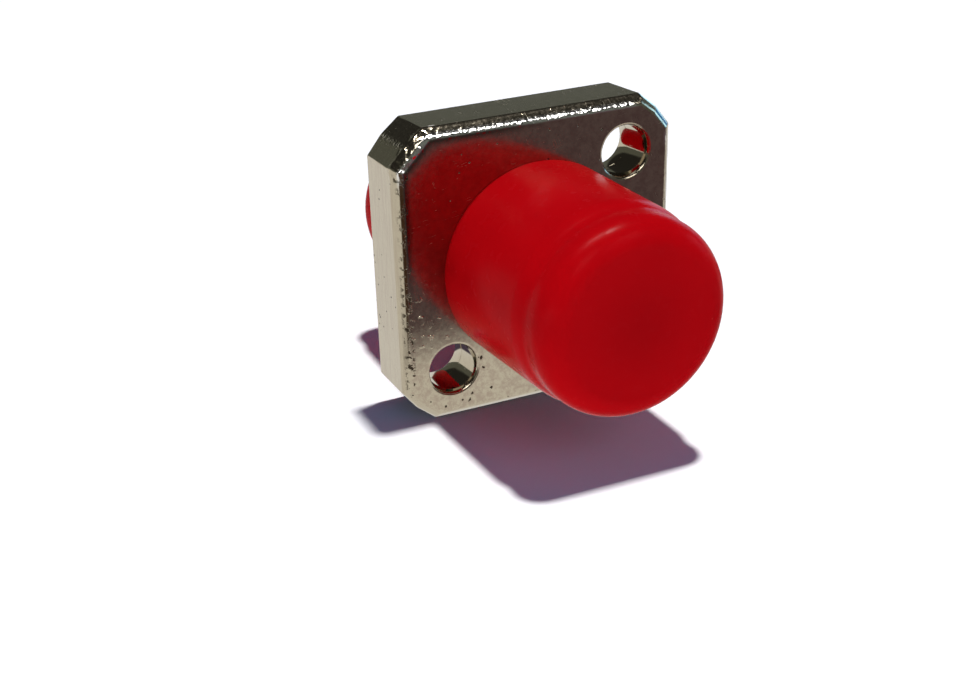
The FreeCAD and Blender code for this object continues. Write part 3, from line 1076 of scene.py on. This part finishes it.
tent = bmesh.new()
bmesh.ops.create_uvsphere(tent, u_segments=2 * TENT_RINGS, v_segments=TENT_RINGS, radius=TENT_RADIUS)
for height, kept in ((TENT_LOWEST, 1), (TENT_OPENING, -1)):
    bmesh.ops.bisect_plane(
        tent,
        geom=tent.verts[:] + tent.edges[:] + tent.faces[:],
        plane_co=(0, 0, TENT_RADIUS * height),
        plane_no=(0, 0, kept),
        clear_inner=True,
    )
only_in_reflections(staged(tent, "dark_tent", tent_cloth()))


def mat_cloth(name, colour, slope, start, full):
    """Dark cloth that comes out of the white floor between two places along Y, or along a line at a slope."""
    material, tree, place, shade = glow(name)
    x, y, z = split(tree, place)
    along = calc(tree, "SUBTRACT", y, calc(tree, "MULTIPLY", x, slope))
    plug(tree, shade, blended(tree, beyond(tree, along, start, full), FLOOR_WHITE, colour))
    return material


for name, colour, low_x, high_x, slope, start, full in (
    ("front_mat", MAT_DARK, MAT_SPLIT, MAT_REACH, 0.0, FRONT_MAT_START, FRONT_MAT_FULL),
    ("side_mat", MAT_BROWN, -MAT_REACH, MAT_SPLIT, SIDE_MAT_SLOPE, SIDE_MAT_START, SIDE_MAT_FULL),
):
    mat = sheet_mesh(high_x - low_x, MAT_REACH)
    middle = ((low_x + high_x) / 2, -MAT_REACH / 2, floor_level + MAT_GAP)
    bmesh.ops.translate(mat, verts=mat.verts, vec=middle)
    only_in_reflections(staged(mat, name, mat_cloth(name, colour, slope, start, full)))


def facing(place):
    """The turn that points a flat thing's own +Z, or a lamp's back, away from the object."""
    return Vector(place).to_track_quat("Z", "Y").to_matrix()


def card_paper(name, colour, strength):
    material, tree, place, shade = glow(name, strength)
    plug(tree, shade, colour)
    return material


for name, card_place, size, colour, strength in CARDS:
    card = sheet_mesh(*size)
    bmesh.ops.rotate(card, verts=card.verts, cent=(0, 0, 0), matrix=facing(card_place))
    bmesh.ops.translate(card, verts=card.verts, vec=card_place)
    only_in_reflections(staged(card, name, card_paper(name, colour, strength)))

key_data = bpy.data.lights.new("key", "SUN")
key_data.energy = KEY_STRENGTH
key_data.angle = KEY_SPREAD
key = bpy.data.objects.new("key", key_data)
key.matrix_world = facing(KEY_FROM).to_4x4()
bpy.context.scene.collection.objects.link(key)

for name, lamp_place, size, power, colour in LAMPS:
    lamp_data = bpy.data.lights.new(name, "AREA")
    lamp_data.shape = "RECTANGLE"
    lamp_data.size, lamp_data.size_y = (side * MM for side in size)
    lamp_data.energy = power
    lamp_data.color = colour
    lamp = bpy.data.objects.new(name, lamp_data)
    lamp.matrix_world = Matrix.Translation(Vector(lamp_place) * MM) @ facing(lamp_place).to_4x4()
    lamp.visible_glossy = False
    bpy.context.scene.collection.objects.link(lamp)

world = bpy.data.worlds.new("studio")
world.use_nodes = True
bpy.context.scene.world = world
sky_tree = world.node_tree
path = add(sky_tree, "ShaderNodeLightPath").outputs
seen_white = calc(sky_tree, "ADD", path["Is Camera Ray"], path["Is Glossy Ray"])
seen_white = calc(sky_tree, "ADD", seen_white, path["Is Transmission Ray"], clamp=True)
sky_colour = blended(sky_tree, seen_white, SHADOW_LILAC, WORLD_WHITE)
plug(sky_tree, sky_tree.nodes["Background"].inputs["Color"], sky_colour)
bpy.context.scene.view_settings.view_transform = "Standard"

# Camera
# It stands close, in front and to the left, and looks down a little, as in the photograph of 976 by 687 pixels.
PHOTO_WIDTH = 976
PHOTO_HEIGHT = 687
FOCAL_LENGTH = 1294.1  # in pixels
OPTICAL_CENTRE = (350.0, 349.15)  # in pixels
SENSOR_WIDTH = 36.0
CAMERA_PLACE = (-26.47, -51.97, 21.13)
CAMERA_LOOK = (0.29124, 0.86684, -0.40469)
CAMERA_UP = (0.19997, 0.35852, 0.91185)

look = Vector(CAMERA_LOOK).normalized()
right = look.cross(Vector(CAMERA_UP)).normalized()
upright = right.cross(look)
camera_data = bpy.data.cameras.new("camera")
camera_data.sensor_width = SENSOR_WIDTH
camera_data.lens = FOCAL_LENGTH * SENSOR_WIDTH / PHOTO_WIDTH
camera_data.shift_x = (PHOTO_WIDTH / 2 - OPTICAL_CENTRE[0]) / PHOTO_WIDTH
camera_data.shift_y = (OPTICAL_CENTRE[1] - PHOTO_HEIGHT / 2) / PHOTO_WIDTH
camera_data.clip_start = 0.001
camera_data.clip_end = 10
camera = bpy.data.objects.new("camera", camera_data)
turn = Matrix((right, upright, -look)).transposed()
camera.matrix_world = Matrix.Translation(Vector(CAMERA_PLACE) * MM) @ turn.to_4x4()
bpy.context.scene.collection.objects.link(camera)
bpy.context.scene.camera = camera
